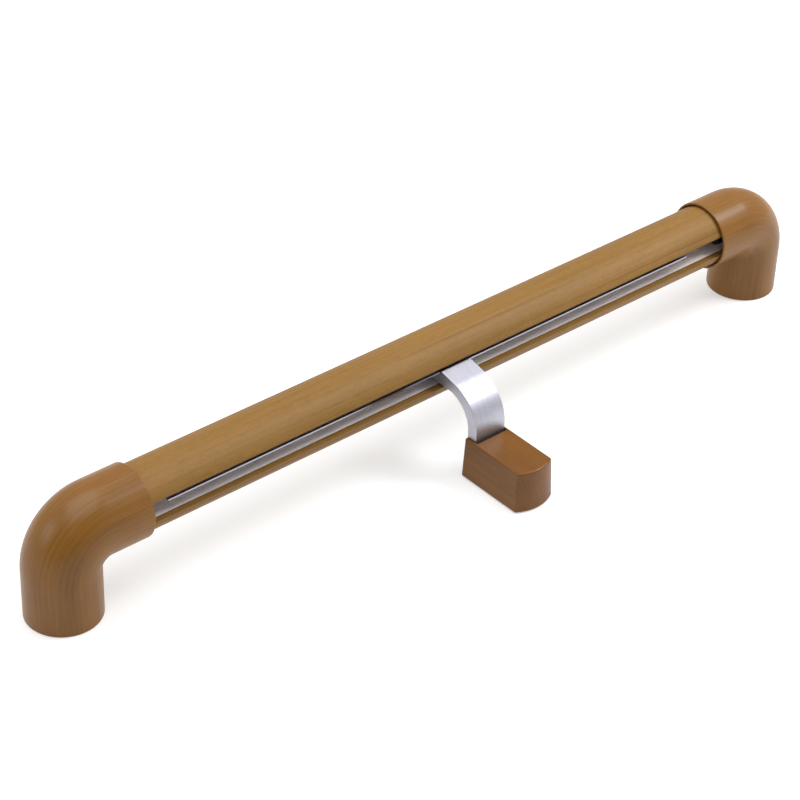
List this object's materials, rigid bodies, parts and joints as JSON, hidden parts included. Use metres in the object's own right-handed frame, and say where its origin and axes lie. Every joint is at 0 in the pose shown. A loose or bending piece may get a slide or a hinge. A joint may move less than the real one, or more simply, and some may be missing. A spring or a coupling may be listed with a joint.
{
  "type": "grab rail",
  "caption": "Round slotted grab rail on two wooden elbow posts, with an aluminium arm that slides in the slot and ends in a covered foot.",
  "frame": {"origin": "on the mounting surface, half way between the two wall screws, under the rail's axis", "axes": "+X along the rail, from the left elbow to the right one; +Z away from the mounting surface; -Y is the side that the slot and the arm point to"},
  "size_m": [0.603, 0.1202, 0.079],
  "materials": {
    "rail_wood_foil": "satin wood-grain skin, fine streaks along the rail",
    "mill_aluminium": "mill finish, drawn along the rail",
    "bright_aluminium": "bright drawn strip",
    "black_nylon": "matt moulded nylon",
    "zinc_screw": "zinc plated",
    "elbow_wood": "turned beech, stained and satin varnished",
    "brass_insert": "turned",
    "dark_steel": "blackened",
    "cast_spigot": "turned casting",
    "satin_aluminium": "satin anodised, blasted",
    "white_nylon": "moulded nylon",
    "cover_wood": "beech, stained darker and satin varnished"
  },
  "bodies": {
    "posts": {"left_elbow": "elbow_wood", "right_elbow": "elbow_wood", "left_socket_sleeve": "black_nylon", "right_socket_sleeve": "black_nylon", "lock_inserts": "brass_insert", "lock_screws": "dark_steel", "left_wall_spigot": "cast_spigot", "right_wall_spigot": "cast_spigot", "leg_screws": "zinc_screw"},
    "rail": {"rail_shell": "rail_wood_foil", "rail_core": "mill_aluminium", "slot_liner": "bright_aluminium", "left_end_cap": "black_nylon", "right_end_cap": "black_nylon", "cap_screws": "zinc_screw"},
    "bracket": {"bracket_arm": "satin_aluminium", "slide_shoe": "white_nylon", "shoe_screws": "zinc_screw"},
    "cover": {"cover_block": "cover_wood", "cover_clip": "white_nylon"}
  },
  "joints": [
    {"name": "rail_turn", "type": "hinge", "parent": "posts", "child": "rail", "pos_m": [0, 0, 0.056], "axis": [1, 0, 0], "range_deg": [-120, 0]},
    {"name": "arm_slide", "type": "slide", "parent": "rail", "child": "bracket", "axis": [1, 0, 0], "range_m": [-0.212, 0.218]},
    {"name": "cover_slide", "type": "slide", "parent": "bracket", "child": "cover", "axis": [0, -1, 0], "range_m": [0, 0.042]}
  ]
}
